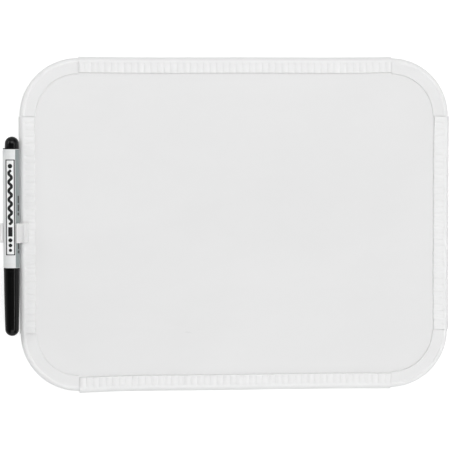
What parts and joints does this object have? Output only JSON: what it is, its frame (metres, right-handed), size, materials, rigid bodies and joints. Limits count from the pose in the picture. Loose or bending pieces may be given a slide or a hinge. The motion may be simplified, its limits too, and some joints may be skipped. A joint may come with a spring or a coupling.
{
  "type": "personal whiteboard",
  "caption": "Hand-held dry-erase board with a ribbed plastic frame, smooth rounded corners and a capped marker held in a sliding clip on its left edge.",
  "frame": {"origin": "centre of the footprint, board with its clipped marker, on the plane that the back rim of the frame rests on", "axes": "+Z out of the writing face, +Y towards the board's top edge, +X towards its right edge, away from the marker"},
  "size_m": [0.2918, 0.216, 0.0169],
  "materials": {
    "dry_erase_coating": "glossy white dry-erase coating on thin steel",
    "fibreboard": "raw medium-density fibreboard",
    "backing_card": "matt grey card liner",
    "frame_plastic": "satin white extruded plastic",
    "corner_plastic": "satin white moulded plastic",
    "clip_plastic": "satin white moulded plastic",
    "barrel_plastic": "white moulded plastic",
    "label_film": "printed silver-grey film",
    "black_plastic": "satin black moulded plastic",
    "ink_fibre": "ink-soaked polyester fibre",
    "wrap_film": "thin film",
    "holder_plastic": "white moulded plastic",
    "nib_felt": "bonded fibre stained by ink",
    "seal_plastic": "soft translucent plastic"
  },
  "bodies": {
    "board": {"writing_sheet": "dry_erase_coating", "core_panel": "fibreboard", "backing_sheet": "backing_card", "trim_top": "frame_plastic", "trim_bottom": "frame_plastic", "trim_left": "frame_plastic", "trim_right": "frame_plastic", "corner_top_left": "corner_plastic", "corner_top_right": "corner_plastic", "corner_bottom_left": "corner_plastic", "corner_bottom_right": "corner_plastic"},
    "clip": {"marker_clip": "clip_plastic"},
    "marker": {"marker_barrel": "barrel_plastic", "marker_label": "label_film", "marker_end_plug": "black_plastic", "ink_reservoir": "ink_fibre", "reservoir_wrap": "wrap_film", "nib_holder": "holder_plastic", "marker_nib": "nib_felt"},
    "cap": {"marker_cap": "black_plastic", "cap_seal": "seal_plastic"}
  },
  "joints": [
    {"name": "clip_slide", "type": "slide", "parent": "board", "child": "clip", "axis": [0, 1, 0], "range_m": [-0.058, 0.067]},
    {"name": "marker_slide", "type": "slide", "parent": "clip", "child": "marker", "axis": [0, 1, 0], "range_m": [-0.045, 0.19]},
    {"name": "cap_pull", "type": "slide", "parent": "marker", "child": "cap", "axis": [0, -1, 0], "range_m": [0, 0.045]}
  ]
}
